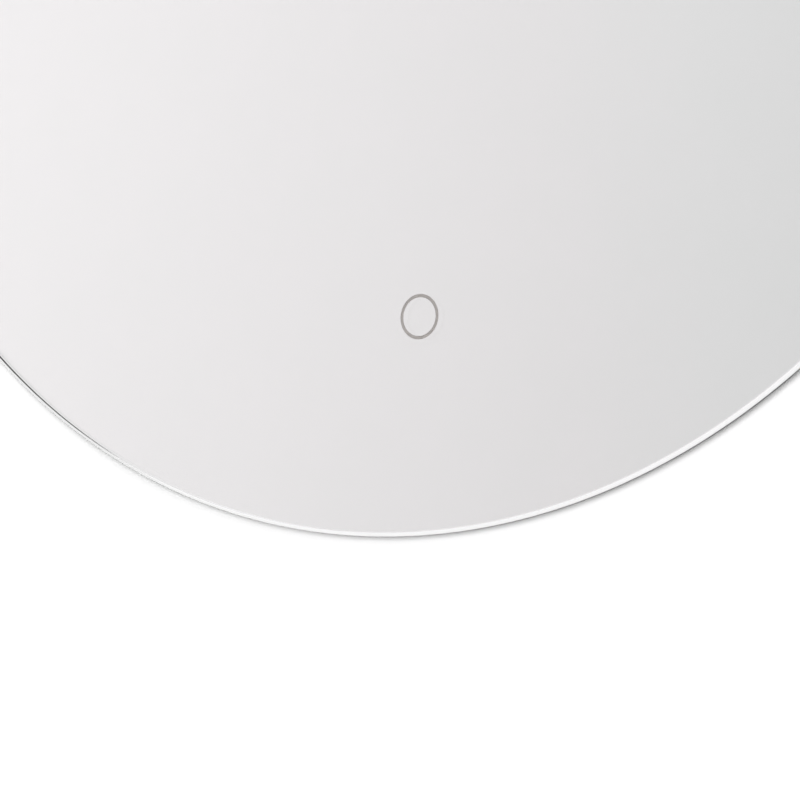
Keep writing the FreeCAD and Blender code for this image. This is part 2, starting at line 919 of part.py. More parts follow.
def driver_capacitors():
    """Round capacitors in a row, standing on the board."""
    pieces = []
    for i in range(cap_count):
        z = driver_z + (i - (cap_count - 1) / 2) * cap_pitch
        pieces.append(rod(driver_x + cap_x, z, cap_d / 2, board_front - cap_l, board_front))
    return pieces


def driver_screws():
    seat = plate_front - driver_wall
    pieces = []
    for x, z in driver_screw_places():
        piece = small_screw(driver_wall + plate_t)
        piece.rotate(V(), UP, 180)
        pieces.append(moved(piece, x, seat, z))
    return pieces


# ================================================================ touch switch


def sensor_opening(y0, y1, margin):
    w = sensor_w - 2 * margin
    h = sensor_h - 2 * margin
    return rounded(0, ring_z, w, h, max(sensor_corner - margin, 0.5), y0, y1)


def sensor_tape():
    outer = sensor_opening(film_rear, sensor_front, 0)
    return outer.cut(sensor_opening(film_rear - 1, sensor_front + 1, sensor_tape_w))


def sensor_case():
    """Cap over the touch board, open towards the glass."""
    case = sensor_opening(sensor_front, sensor_rear, 0)
    case = case.cut(sensor_opening(sensor_front - 1, sensor_rear - sensor_wall, sensor_wall))
    inner = sensor_rear - sensor_wall
    posts = [rod(a, b, sensor_post_r, inner - sensor_post, inner) for a, b in sensor_post_places()]
    tools = [
        bar_x(feed_end(), feed_lead_d / 2 + lead_fit, 4 * sensor_wall),
        bar_x(strip_start(), strip_lead_d / 2 + lead_fit, 4 * sensor_wall),
    ]
    return cut_all(case.multiFuse(posts), tools)


def sensor_post_places():
    w = sensor_w / 2 - sensor_wall - 2 * sensor_post_r
    h = sensor_h / 2 - sensor_wall - 2 * sensor_post_r
    return [(i * w, ring_z + j * h) for i in (-1, 1) for j in (-1, 1)]


def lead_height():
    """Depth of the leads where they enter the touch switch, between its board and its cap."""
    return (sensor_front + sensor_board_front) / 2


def feed_end():
    return V(sensor_w / 2, lead_height(), ring_z + sensor_h / 4)


def strip_start():
    return V(-sensor_w / 2, lead_height(), ring_z + sensor_h / 4)


def sensor_board():
    return sensor_opening(sensor_board_front, sensor_board_front + board_t, sensor_wall + board_fit)


def ring_light_guide():
    """Opal tube between the little lamps and the ring window."""
    rear = sensor_board_front - lamp_t - touch_gap
    outer = rod(0, ring_z, guide_r, film_rear, rear)
    return outer.cut(rod(0, ring_z, guide_r - guide_wall, film_rear - 1, rear + 1))


def sensor_electrode():
    """Conductive foam from the touch board to the back of the glass, inside the light guide."""
    r = guide_r - guide_wall - electrode_gap
    return rod(0, ring_z, r, film_front + ring_film_t + touch_gap, sensor_board_front)


def indicator_leds():
    pieces = []
    for i in range(lamp_count):
        x, z = polar(guide_r - guide_wall / 2, 45 + i * 360 / lamp_count)
        pieces.append(block(x, ring_z + z, lamp_w, lamp_w, sensor_board_front - lamp_t, sensor_board_front))
    return pieces


# ================================================================ inner leads


def tube(name, points, d):
    """Round lead along straight runs joined by tangent arcs."""
    edges = []
    radii = []
    start = points[0]
    for before, corner, after in zip(points, points[1:], points[2:]):
        back = before - corner
        ahead = after - corner
        half_turn = (math.pi - back.getAngle(ahead)) / 2
        reach = ARC_SHARE * min(back.Length, ahead.Length)
        radius = reach / math.tan(half_turn)
        back.normalize()
        ahead.normalize()
        first = corner + back * reach
        last = corner + ahead * reach
        inward = (back + ahead).normalize()
        middle = corner + inward * (radius / math.cos(half_turn) - radius)
        edges.append(Part.LineSegment(start, first).toShape())
        edges.append(Part.Arc(first, middle, last).toShape())
        radii.append(radius)
        start = last
    edges.append(Part.LineSegment(start, points[-1]).toShape())
    path = Part.Wire(edges)
    section = Part.Wire(Part.makeCircle(d / 2, points[0], points[1] - points[0]))
    solid = outward(path.makePipeShell([section], True, False))
    ratio = solid.Volume / (math.pi * d * d / 4 * path.Length)
    print(f"{name}: {path.Length:.1f} mm, volume ratio {ratio:.4f}, radii {[round(r, 1) for r in radii]}")
    return solid


def on_plate(d):
    """Depth of a lead's centre where its clips hold it on the back plate."""
    return plate_front - lead_rise - d / 2


def mains_inner_lead():
    start = V(terminal_x + box_w / 2 - box_wall, mains_y, driver_z)
    end = V(driver_x - driver_w / 2 + driver_wall, mains_y, driver_z)
    return tube("mains_inner_lead", [start, end], mains_lead_d)


def feed_route():
    low = on_plate(feed_lead_d)
    start = feed_start()
    end = feed_end()
    return [
        start - SIDE * driver_wall,
        start + SIDE * 16,
        V(start.x + 30, start.y + 1, start.z - 10),
        V(start.x + 36, low - 1, start.z - 31),
        V(start.x + 29, low, start.z - 62),
        V(bumper_x + 4, low, bumper_z + 21),
        V(bumper_x - 32, low, bumper_z - 17),
        V(end.x + 34, low - 3, end.z + 13),
        end + SIDE * 15,
        end - SIDE * sensor_wall,
    ]


def sensor_feed_lead():
    return tube("sensor_feed_lead", feed_route(), feed_lead_d)


def strip_feed_lead():
    start = strip_start()
    x1, z1 = polar(web_in - 14, feed_angle)
    x2, z2 = polar(strip_r + strip_t + lead_socket - touch_gap, feed_angle)
    route = [
        start + SIDE * sensor_wall,
        start - SIDE * 12,
        V(start.x - 25, (start.y + channel_y) / 2, start.z - 5),
        V(x1, channel_y, z1),
        V(x2, channel_y, z2),
    ]
    return tube("strip_feed_lead", route, strip_lead_d)


def strip_lead_grommet():
    """Rubber sleeve that keeps the lead off the edge of the web's hole."""
    neck = feed_hole_r() - touch_gap
    start = V(web_in - touch_gap - sleeve_flange_t, channel_y, 0)
    length = sleeve_flange_t + web_t + 2 * touch_gap
    sleeve = Part.makeCylinder(neck, length, start, SIDE)
    flange = Part.makeCylinder(neck + sleeve_flange, sleeve_flange_t, start, SIDE)
    bore = bar_x(start, strip_lead_d / 2 + touch_gap, 4 * length)
    return spin(sleeve.fuse(flange).cut(bore), feed_angle)


def clip(middle, angle, d):
    """Stick-on clip: a foot on the plate and two arms round the lead, its length along the given angle."""
    hole_r = d / 2 + touch_gap
    centre = on_plate(d)
    foot = block(0, 0, clip_l, clip_w, plate_front - lead_rise + 2 * touch_gap, plate_front)
    arms = block(0, 0, clip_l, d + 2 * clip_arm, centre - d / 2, plate_front)
    lead = Part.makeCylinder(hole_r, clip_l + 2, V(-clip_l / 2 - 1, centre, 0), SIDE)
    mouth = block(0, 0, clip_l + 2, d * 0.6, centre - d, centre)
    body = foot.fuse(arms).cut(lead).cut(mouth)
    body.rotate(V(), TURN, angle)
    return moved(body, middle.x, 0, middle.z)


def lead_clips():
    route = feed_route()
    pieces = []
    for start, end in ((route[4], route[5]), (route[5], route[6])):
        run = end - start
        pieces.append(clip((start + end) / 2, math.degrees(math.atan2(run.z, run.x)), feed_lead_d))
    return pieces


# ================================================================ earth point


def earth_tag():
    """Ring tag under the earth screw, with a barrel for the lead."""
    rear = plate_front
    front = rear - earth_tag_t
    ring = rod(earth_x, earth_z, earth_tag_w / 2, front, rear)
    tongue = block(earth_x, earth_z + earth_tag_w / 2, earth_tag_w / 2, earth_tag_w, front, rear)
    barrel_foot = V(earth_x, earth_barrel_y, earth_z + earth_tag_w)
    barrel = Part.makeCylinder(earth_lead_d / 2 + earth_barrel_wall, earth_barrel_l, barrel_foot, UP)
    bore_foot = barrel_foot + UP * earth_barrel_l / 4
    bore = Part.makeCylinder(earth_lead_d / 2 + touch_gap, earth_barrel_l, bore_foot, UP)
    body = ring.multiFuse([tongue, barrel]).cut(bore)
    return cut_all(body, holes([(earth_x, earth_z)], screw_r + hole_play, front, rear))


def earth_screw():
    piece = big_screw(earth_tag_t + plate_t + 1.5)
    piece.rotate(V(), UP, 180)
    return moved(piece, earth_x, plate_front - earth_tag_t, earth_z)


def earth_lead():
    start = earth_start()
    end = V(earth_x, earth_barrel_y, earth_z + earth_tag_w + earth_barrel_l / 4 + touch_gap)
    bend = (start.z - end.z) / 4
    route = [start + UP * box_wall, start - UP * bend, end + UP * bend, end]
    return tube("earth_lead", route, earth_lead_d)


# ================================================================ all nodes


def main():
    os.makedirs("parts", exist_ok=True)
    save("mirror_glass", mirror_glass())
    save("mirror_silvering", *mirror_silvering())
    save("touch_ring_film", touch_ring_film())
    save("safety_film", safety_film())
    save("bonding_tape", *bonding_tape())
    save("frame_ring", frame_ring())
    save("frame_joint_plate", frame_joint_plate())
    save("frame_joint_screws", *frame_joint_screws())
    save("led_strip", led_strip())
    save("led_chips", *led_chips())
    save("strip_connector", strip_connector())
    save("light_diffuser", light_diffuser())
    save("back_plate", back_plate())
    save("back_plate_screws", *back_plate_screws())
    save("wall_rail", wall_rail())
    save("hanging_rail", hanging_rail())
    save("hanging_rail_rivets", *hanging_rail_rivets())
    save("wall_bumpers", *wall_bumpers())
    save("bumper_screws", *bumper_screws())
    save("terminal_box", terminal_box())
    save("terminal_cover", terminal_cover())
    save("terminal_cover_screws", *terminal_cover_screws())
    save("cable_grommet", cable_grommet())
    save("terminal_block", terminal_block())
    save("terminal_screws", *terminal_screws())
    save("driver_case", driver_case())
    save("driver_lid", driver_lid())
    save("driver_board", driver_board())
    save("driver_transformer", *driver_transformer())
    save("driver_capacitors", *driver_capacitors())
    save("driver_screws", *driver_screws())
    save("sensor_tape", sensor_tape())
    save("sensor_case", sensor_case())
    save("sensor_board", sensor_board())
    save("ring_light_guide", ring_light_guide())
    save("sensor_electrode", sensor_electrode())
    save("indicator_leds", *indicator_leds())
    save("mains_inner_lead", mains_inner_lead())
    save("sensor_feed_lead", sensor_feed_lead())
    save("strip_feed_lead", strip_feed_lead())
    save("strip_lead_grommet", strip_lead_grommet())
    save("lead_clips", *lead_clips())
    save("earth_tag", earth_tag())
    save("earth_screw", earth_screw())
    save("earth_lead", earth_lead())


main()
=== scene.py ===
"""A round backlit bathroom mirror on its wall rail, dressed around its construction model.

Lengths are in metres. +Z is up, the mirror faces -Y and the wall is the plane y = 0.
"""

import json
import math

import bpy
from mathutils import Matrix, Vector


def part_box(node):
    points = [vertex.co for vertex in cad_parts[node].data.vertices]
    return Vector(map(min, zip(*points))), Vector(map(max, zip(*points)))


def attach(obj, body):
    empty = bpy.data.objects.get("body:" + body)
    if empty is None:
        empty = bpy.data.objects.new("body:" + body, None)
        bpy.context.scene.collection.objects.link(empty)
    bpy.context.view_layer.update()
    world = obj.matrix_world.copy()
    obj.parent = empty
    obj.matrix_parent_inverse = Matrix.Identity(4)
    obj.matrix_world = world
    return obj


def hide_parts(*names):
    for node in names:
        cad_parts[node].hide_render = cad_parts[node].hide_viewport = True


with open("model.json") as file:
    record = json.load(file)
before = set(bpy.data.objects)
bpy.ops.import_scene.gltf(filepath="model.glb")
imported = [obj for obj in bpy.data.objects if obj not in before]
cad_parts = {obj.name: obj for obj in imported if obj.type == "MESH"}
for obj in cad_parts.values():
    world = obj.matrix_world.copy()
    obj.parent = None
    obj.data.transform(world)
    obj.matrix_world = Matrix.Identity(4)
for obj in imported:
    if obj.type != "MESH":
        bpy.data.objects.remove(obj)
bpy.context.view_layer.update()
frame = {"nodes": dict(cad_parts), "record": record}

# ---- places, read from the frame --------------------------------------------------------------
MM = 0.001
glass_low, glass_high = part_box("mirror_glass")
glass_r = (glass_high.x - glass_low.x) / 2
axis_x = (glass_high.x + glass_low.x) / 2
axis_z = (glass_high.z + glass_low.z) / 2
glass_front = glass_low.y
glass_rear = glass_high.y
silver_low, silver_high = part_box("mirror_silvering")
silver_r = (silver_high.x - silver_low.x) / 2
film_low, film_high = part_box("touch_ring_film")
ring_z = (film_low.z + film_high.z) / 2
middle = Vector((axis_x, 0.0, axis_z))  # of the wall behind the mirror

# ---- the glass and its silver, where the frame doesn't say ------------------------------------
edge_round = 1.8 * MM  # the polished rounding of both edges of the glass
glass_gap = 0.01 * MM  # between the glass and its silver, so that the two faces stay apart
window_r = 8.9 * MM  # the touch ring's window in the silver
inner_r = 7.6 * MM  # the silver disc left inside it
rim_steps = 720
round_steps = 14
window_steps = 144
bloom_width = 1.7 * MM  # the outer part of the edge that looks white from its grinding
bloom_onset = 0.3  # the share of that width over which the white sets in
bloom_haze = 0.85  # the share of the light that it keeps from passing
seal_and_shade_width = 1.18 * MM  # the band of dark seal paint on the rear rounding, also painted shade of the gap behind the rim
seal_depth = 2.45 * MM  # how far the seal paint reaches forward from the rear face
seal_fray = 0.04 * MM  # how far the seal paint's inner edge wanders each way

# ---- what several materials share -------------------------------------------------------------
SILVER = (0.953, 0.942, 0.948)
MILKY = (1.0, 0.96, 0.90)  # how far red, green and blue light reach inside white plastic, by their ratio
NOISE_LOW = 0.3  # most of a noise lies between these two
NOISE_HIGH = 0.7

# ---- camera -----------------------------------------------------------------------------------
CAMERA_AT = Vector((1.1499, -1.7417, -0.5880))
CAMERA_TURN = 34.15  # degrees to the mirror's right
CAMERA_RISE = -6.40  # degrees above the mirror, so this is below it
CAMERA_ROLL = -0.34
CAMERA_LENS = 239.75  # mm, over a sensor 36 mm wide

# ---- wall and floor ---------------------------------------------------------------------------
WALL_Y = 0.0004
WALL_HALF = 2.6
WALL_NEAR = 0.37  # from the mirror's axis to where the wall's paint begins to turn plain white
WALL_FAR = 0.60
WALL_TONE = 0.02
WALL_PAINTED_LIGHT = 0.17  # how light the wall's shadow is behind the glass, as painted light
RIM_PAINTED_LIGHT = 0.50  # and how light it is outside the rim: painted light standing in for the room's light reaching in
SHADE_INNER = 0.012  # from the rim to where the shadow begins to pale with painted light
SHADE_OUTER = 0.030  # and to where it is as light as that
FLOOR_Z = -1.30
FLOOR_HALF = 14.0
FLOOR_NEAR = 1.0  # from the mirror to where the floor's paint begins to turn plain white
FLOOR_FAR = 3.0
FLOOR_TONE = 0.45
FLOOR_GLOW = 0.50

# ---- lamps ------------------------------------------------------------------------------------
KEY_AT = (-1.5, -2.2, 1.5)  # for the front of the mirror
KEY_SIZE = 1.6
KEY_POWER = 16.0  # watts
REAR_AT = (1.9, 2.1, 1.7)  # for its back
REAR_SIZE = 1.0
REAR_POWER = 50.0
WASH_LEFT = 0.047  # how far the two lamps for the wall stand to the left of the camera
WASH_UP = 0.036  # and above it
WASH_SIZE = 0.15
WASH_LEVEL = 0.63  # the share of white that the lamp gives the wall
HAZE_SIZE = 0.40  # its softer companion
HAZE_LEVEL = 0.41

# ---- the room that glass and metal reflect ----------------------------------------------------
# Each is a stretch of directions and the levels at its two ends, as grade takes them.
ROOM_LEFT = (-0.79, -0.34, 1.09, 0.60)  # along x: bright on the left
ROOM_RIGHT = (0.25, 0.85, 0.0, 0.35)  # along x: added on the far right
ROOM_LOW = (-0.06, 0.06, 0.46, 0.0)  # along z: added below
ROOM_HIGH = (0.06, 0.52, -0.0372, 0.248)  # along z: added above
ROOM_REAR = (-0.5, 0.9, 0.18, 0.52)  # along z: behind the wall, in place of the others
ROOM_TURN = (-0.35, 0.25, 0.0, 1.0)  # along y: how much of the rear's level counts
ROOM_WARMTH = (-0.54, -0.495, 1.0, 0.0)  # along x: how much of the tint counts
ROOM_TINT = (1.006, 0.986, 0.992)


# ==== meshes ===================================================================================
def new_object(name, data):
    """An object for a mesh, a curve, a lamp or a camera, in the scene's own collection."""
    thing = bpy.data.objects.new(name, data)
    bpy.context.scene.collection.objects.link(thing)
    return thing


def circle(radius, steps, centre_z=0.0):
    """Points (x, z) round a circle that is centred on the mirror's axis, or off it by centre_z."""
    turn = 2 * math.pi / steps
    return [(radius * math.sin(i * turn), centre_z + radius * math.cos(i * turn)) for i in range(steps)]


def glass_outline():
    """Half of the glass's section as (radius, y, normal's radius part, normal's y part), front to rear."""
    flat_r = glass_r - edge_round
    rear = glass_rear - glass_gap
    quarter = [math.pi / 2 * i / round_steps for i in range(round_steps + 1)]
    points = []
    for angle in quarter:
        s, c = math.sin(angle), math.cos(angle)
        points.append((flat_r + edge_round * s, glass_front + edge_round * (1 - c), s, -c))
    for angle in quarter:
        s, c = math.sin(angle), math.cos(angle)
        points.append((flat_r + edge_round * c, rear - edge_round * (1 - s), c, s))
    return points


def glass_pane():
    """The glass as a turned solid whose normals follow the true rounding."""
    outline = glass_outline()
    turn = 2 * math.pi / rim_steps
    verts = [(axis_x, glass_front, axis_z)]
    normals = [(0, -1, 0)]
    for radius, y, out, along in outline:
        for i in range(rim_steps):
            s, c = math.sin(i * turn), math.cos(i * turn)
            verts.append((axis_x + radius * s, y, axis_z + radius * c))
            normals.append((out * s, along, out * c))
    verts.append((axis_x, outline[-1][1], axis_z))
    normals.append((0, 1, 0))
    faces = []
    last = len(verts) - 1
    tail = last - rim_steps
    for i in range(rim_steps):
        j = (i + 1) % rim_steps
        faces.append((0, 1 + j, 1 + i))
        faces.append((last, tail + i, tail + j))
        for k in range(len(outline) - 1):
            a, b = 1 + k * rim_steps, 1 + (k + 1) * rim_steps
            faces.append((a + i, a + j, b + j, b + i))
    mesh = bpy.data.meshes.new("glass_pane")
    mesh.from_pydata(verts, [], faces)
    mesh.shade_smooth()
    mesh.normals_split_custom_set_from_vertices(normals)
    return new_object("glass_pane", mesh)


def silver_layer():
    """The silvered layer with the ring window, as smooth at its rim as the glass."""
    curve = bpy.data.curves.new("silver_outline", "CURVE")
    curve.dimensions = "2D"
    curve.fill_mode = "BOTH"
    curve.extrude = (silver_high.y - silver_low.y) / 2
    loops = [circle(silver_r, rim_steps), circle(window_r, window_steps, ring_z - axis_z),
             circle(inner_r, window_steps, ring_z - axis_z)]
    for loop in loops:
        spline = curve.splines.new("POLY")
        spline.points.add(len(loop) - 1)
        for point, (x, z) in zip(spline.points, loop):
            point.co = (x, z, 0, 1)
        spline.use_cyclic_u = True
    drawn = new_object("silver_drawn", curve)
    bpy.context.view_layer.update()
    mesh = bpy.data.meshes.new_from_object(drawn.evaluated_get(bpy.context.evaluated_depsgraph_get()))
    bpy.data.objects.remove(drawn)
    upright = Matrix.Rotation(math.pi / 2, 4, "X")
    place = Matrix.Translation((axis_x, (silver_low.y + silver_high.y) / 2, axis_z))
    mesh.transform(place @ upright)
    mesh.name = "silver_layer"
    mesh.materials.clear()
    mesh.shade_flat()
    return new_object("silver_layer", mesh)


# ==== materials ================================================================================
class Nodes:
    """One node tree, with short calls that add to it."""

    def __init__(self, tree):
        self.tree = tree

    def add(self, kind, sockets=None, **settings):
        """Adds a shader node and gives its outputs; a socket takes a value or another node's output."""
        node = self.tree.nodes.new("ShaderNode" + kind)
        for key, value in settings.items():
            setattr(node, key, value)
        for key, value in (sockets or {}).items():
            if isinstance(value, bpy.types.NodeSocket):
                self.tree.links.new(value, node.inputs[key])
            else:
                node.inputs[key].default_value = value
        return node.outputs

    def math(self, operation, a, b=0.0, c=0.0):
        return self.add("Math", {0: a, 1: b, 2: c}, operation=operation)[0]

    def grade(self, value, low, high, to_low=0.0, to_high=1.0, soft=False):
        """A level that goes from to_low to to_high while the value goes from low to high."""
        kind = "SMOOTHSTEP" if soft else "LINEAR"
        sockets = {"Value": value, "From Min": low, "From Max": high, "To Min": to_low, "To Max": to_high}
        return self.add("MapRange", sockets, interpolation_type=kind)[0]

    def mix(self, factor, a, b):
        """A blend of two colours."""
        return self.add("Mix", {0: factor, 6: a, 7: b}, data_type="RGBA")[2]


class Shader(Nodes):
    """A new material's node tree. A texture's scale is per metre, and here is the place on the object."""

    def __init__(self, name):
        self.material = bpy.data.materials.new(name)
        self.material.use_nodes = True
        super().__init__(self.material.node_tree)
        self.tree.nodes.clear()
        self.here = self.add("TexCoord")["Object"]

    def split(self, vector=None):
        """The x, y and z of a vector, or of the place."""
        return self.add("SeparateXYZ", {0: vector or self.here})

    def scaled(self, factors, vector=None):
        """A vector, or the place, stretched by a factor along each axis."""
        return self.add("VectorMath", {0: vector or self.here, 1: factors}, operation="MULTIPLY")[0]

    def noise(self, scale, detail=2.0, vector=None, roughness=0.5):
        sockets = {"Vector": vector or self.here, "Scale": scale, "Detail": detail, "Roughness": roughness}
        return self.add("TexNoise", sockets)["Fac"]

    def spread(self, noise, to_low=0.0, to_high=1.0):
        """A noise spread over other limits."""
        return self.grade(noise, NOISE_LOW, NOISE_HIGH, to_low, to_high)

    def wander(self, noise, reach):
        """A noise as a shift of up to reach each way."""
        return self.math("MULTIPLY_ADD", noise, 2 * reach, -reach)

    def cells(self, scale, vector=None, what="Distance"):
        return self.add("TexVoronoi", {"Vector": vector or self.here, "Scale": scale})[what]

    def bump(self, height, depth, strength=1.0):
        return self.add("Bump", {"Height": height, "Distance": depth, "Strength": strength})[0]

    def facing(self):
        """1 on a face's front and 0 on its back."""
        return self.math("SUBTRACT", 1.0, self.add("NewGeometry")["Backfacing"])

    def surface(self, **sockets):
        """The Principled shader; names are its sockets' names in small letters with underscores."""
        named = {key.replace("_", " ").title().replace("Ior", "IOR"): sockets[key] for key in sockets}
        return self.finished(self.add("BsdfPrincipled", named)[0])

    def finished(self, shader):
        """The material, with this shader as its surface."""
        self.add("OutputMaterial", {"Surface": shader})
        return self.material


def rgb(r, g=None, b=None):
    """A colour with its alpha, from one grey or from three parts."""
    return (r, r if g is None else g, r if b is None else b, 1.0)


def polar(m):
    """Arc length round the mirror's axis, distance along it and distance from it, and the last one alone."""
    x, y, z = m.split()
    across = m.math("SUBTRACT", x, axis_x)
    up = m.math("SUBTRACT", z, axis_z)
    radius = m.math("SQRT", m.math("ADD", m.math("MULTIPLY", across, across), m.math("MULTIPLY", up, up)))
    angle = m.math("ARCTAN2", up, across)
    arc = m.math("MULTIPLY", angle, glass_r)
    return m.add("CombineXYZ", {0: arc, 1: y, 2: radius})[0], radius


def clear_glass():
    """Clear float glass with the finish of its edge.

    A whitish bloom lies on the ground edge, and shows from outside alone. On the rear rounding, silver runs
    on a little from the flat, and dark seal paint covers the rest, darkened to stand in as painted shade of
    the gap behind the rim. The silver shines from inside the glass.
    """
    m = Shader("clear_glass")
    _, radius = polar(m)
    y = m.split()[1]
    outside = m.facing()
    inside = m.math("SUBTRACT", 1.0, outside)
    bloom_r = glass_r - bloom_width
    bloom = m.grade(radius, bloom_r, bloom_r + bloom_onset * bloom_width, soft=True)
    edge = m.math("MULTIPLY", bloom, outside)
    grind = m.noise(5200, 3)
    smear = m.noise(38, 4)
    seal_and_shade_r = glass_r - seal_and_shade_width
    frayed = m.math("ADD", radius, m.wander(m.noise(150, 3), seal_fray))
    rear = m.math("GREATER_THAN", y, glass_rear - seal_depth)
    seal_and_shade = m.math("MULTIPLY", m.grade(frayed, seal_and_shade_r - seal_fray, seal_and_shade_r + 2 * seal_fray), rear)
    coated = m.math("MULTIPLY", m.math("GREATER_THAN", radius, silver_r), rear)
    bright = m.math("MULTIPLY", m.math("SUBTRACT", coated, seal_and_shade), inside)
    tint = m.mix(m.grade(smear, 0.3, 0.8), rgb(0.992, 0.997, 0.995), rgb(0.986, 0.994, 0.990))
    colour = m.mix(edge, tint, m.mix(grind, rgb(0.96), rgb(0.99)))
    # dark seal paint, darkened as painted shade of the gap behind the rim
    colour = m.mix(coated, colour, m.mix(grind, rgb(0.040), rgb(0.070)))
    colour = m.mix(bright, colour, rgb(*SILVER))
    passing = m.math("MULTIPLY_ADD", edge, -bloom_haze, 1.0)
    clear = m.math("MULTIPLY", passing, m.math("SUBTRACT", 1.0, coated))
    rough = m.math("MULTIPLY", edge, m.grade(grind, 0.35, 0.75, 0.05, 0.20))
    rough = m.math("MULTIPLY_ADD", coated, 0.35, rough)
    rough = m.math("MULTIPLY", rough, m.math("SUBTRACT", 1.0, bright))
    return m.surface(base_color=colour, roughness=rough, metallic=bright, transmission_weight=clear, ior=1.52)


def silver():
    """Bright silver in front, and the grey paint that backs it behind and at its rim."""
    m = Shader("silver")
    forward = m.math("LESS_THAN", m.split(m.add("NewGeometry")["True Normal"])[1], -0.5)
    behind = m.math("SUBTRACT", 1.0, forward)
    paint = m.mix(m.noise(900, 3), rgb(0.30, 0.31, 0.30), rgb(0.36, 0.37, 0.36))
    bright = m.mix(m.noise(9, 1), rgb(*SILVER), rgb(*(0.99 * part for part in SILVER)))
    colour = m.mix(behind, bright, paint)
    return m.surface(base_color=colour, roughness=m.math("MULTIPLY", behind, 0.55), metallic=forward)


def film(name, low, high, thread_pitch=None):
    """A matt plastic film, with the threads of its backing where it has them."""
    m = Shader(name)
    fine = m.noise(2600, 2)
    height = fine
    if thread_pitch:
        x, _, z = m.split()
        wave = 2 * math.pi / thread_pitch
        threads = m.math("MAXIMUM", m.math("SINE", m.math("MULTIPLY", x, wave)),
                         m.math("SINE", m.math("MULTIPLY", z, wave)))
        height = m.math("MULTIPLY_ADD", m.grade(threads, 0.6, 1.0), 1.2, fine)
    colour = m.mix(m.spread(m.noise(24, 3)), low, high)
    return m.surface(base_color=colour, roughness=m.spread(fine, 0.42, 0.56),
                     normal=m.bump(height, 0.02 * MM, 0.5))


def foam(name):
    """Closed-cell foam tape, dark, with its pores."""
    m = Shader(name)
    pores = m.cells(2400)
    colour = m.mix(m.grade(pores, 0.1, 0.7), rgb(0.012), rgb(0.045))
    return m.surface(base_color=colour, roughness=0.85, normal=m.bump(pores, 0.08 * MM))


def anodised(name):
    """Satin anodised aluminium with the fine draw lines of its extrusion running round the ring."""
    m = Shader(name)
    around, _ = polar(m)
    lines = m.noise(1.0, 2, m.scaled((6.0, 5200.0, 5200.0), around))
    colour = m.mix(m.grade(lines, 0.25, 0.75), rgb(0.70, 0.70, 0.71), rgb(0.82, 0.82, 0.825))
    rough = m.math("ADD", m.grade(lines, 0.25, 0.75, 0.26, 0.36), m.spread(m.noise(30, 2), 0.0, 0.05))
    return m.surface(base_color=colour, metallic=1.0, roughness=rough, normal=m.bump(lines, 0.006 * MM, 0.5))


def powder_coat(name):
    """White-grey powder coat: a low orange peel, a finer sparkle of grain and slight handling marks."""
    m = Shader(name)
    peel = m.noise(620, 2)
    grain = m.noise(3600, 1)
    marks = m.grade(m.noise(11, 5, roughness=0.65), 0.52, 0.72)
    colour = m.mix(marks, rgb(0.785, 0.785, 0.775), rgb(0.745, 0.745, 0.735))
    fleck = m.grade(grain, 0.62, 0.78, 0.0, 0.5)
    colour = m.mix(fleck, colour, rgb(0.86, 0.86, 0.85))
    height = m.math("MULTIPLY_ADD", grain, 0.25, peel)
    rough = m.math("ADD", m.spread(peel, 0.40, 0.50), m.math("MULTIPLY", marks, 0.08))
    return m.surface(base_color=colour, roughness=rough, normal=m.bump(height, 0.05 * MM, 0.7))


def galvanised(name):
    """Zinc spangle: flat crystals a few millimetres wide, each with its own grey and gloss."""
    m = Shader(name)
    sway = m.add("TexNoise", {"Vector": m.here, "Scale": 160})["Color"]
    reach = (4 * MM, 4 * MM, 4 * MM)
    bent = m.add("VectorMath", {0: m.here, 1: sway, 2: reach}, operation="MULTIPLY_ADD")[0]
    crystal = m.add("SeparateColor", {0: m.cells(165, bent, what="Color")})[0]
    scratch = m.noise(1.0, 2, m.scaled((40.0, 2600.0, 2600.0)))
    colour = m.mix(crystal, rgb(0.56, 0.57, 0.59), rgb(0.72, 0.73, 0.745))
    colour = m.mix(m.grade(scratch, 0.66, 0.78, 0.0, 0.4), colour, rgb(0.80, 0.80, 0.80))
    return m.surface(base_color=colour, metallic=1.0, roughness=m.grade(crystal, 0.0, 1.0, 0.30, 0.46),
                     normal=m.bump(m.math("ADD", crystal, scratch), 0.008 * MM, 0.4))


def metal(name, low, high, rough_low, rough_high):
    """Plated, drawn or turned metal with a fine cloudy grain."""
    m = Shader(name)
    grain = m.noise(900, 3)
    colour = m.mix(m.spread(m.noise(100, 2)), low, high)
    return m.surface(base_color=colour, metallic=1.0, roughness=m.spread(grain, rough_low, rough_high),
                     normal=m.bump(grain, 0.01 * MM, 0.35))


def plastic(name, low, high, rough, grain_scale, grain_depth, **more):
    """Moulded plastic or rubber with the fine grain of its mould."""
    m = Shader(name)
    grain = m.noise(grain_scale, 2)
    colour = m.mix(m.spread(m.noise(26, 3)), low, high)
    return m.surface(base_color=colour, roughness=m.spread(grain, rough - 0.05, rough + 0.07),
                     normal=m.bump(grain, grain_depth, 0.6), **more)


def opal(name):
    """Milky light diffuser with fine lines drawn round it."""
    m = Shader(name)
    around, _ = polar(m)
    lines = m.noise(1.0, 1, m.scaled((4.0, 3000.0, 600.0), around))
    colour = m.mix(m.spread(m.noise(18, 2)), rgb(0.90, 0.90, 0.885), rgb(0.93, 0.93, 0.92))
    return m.surface(base_color=colour, roughness=m.spread(lines, 0.30, 0.40),
                     normal=m.bump(lines, 0.006 * MM, 0.4),
                     subsurface_weight=0.35, subsurface_radius=MILKY, subsurface_scale=4 * MM)


def board(name):
    """Green solder mask over its copper tracks."""
    m = Shader(name)
    mask = m.grade(m.cells(260), 0.40, 0.44)
    colour = m.mix(mask, rgb(0.012, 0.105, 0.035), rgb(0.022, 0.165, 0.060))
    return m.surface(base_color=colour, roughness=0.28, normal=m.bump(mask, 0.03 * MM, 0.6))


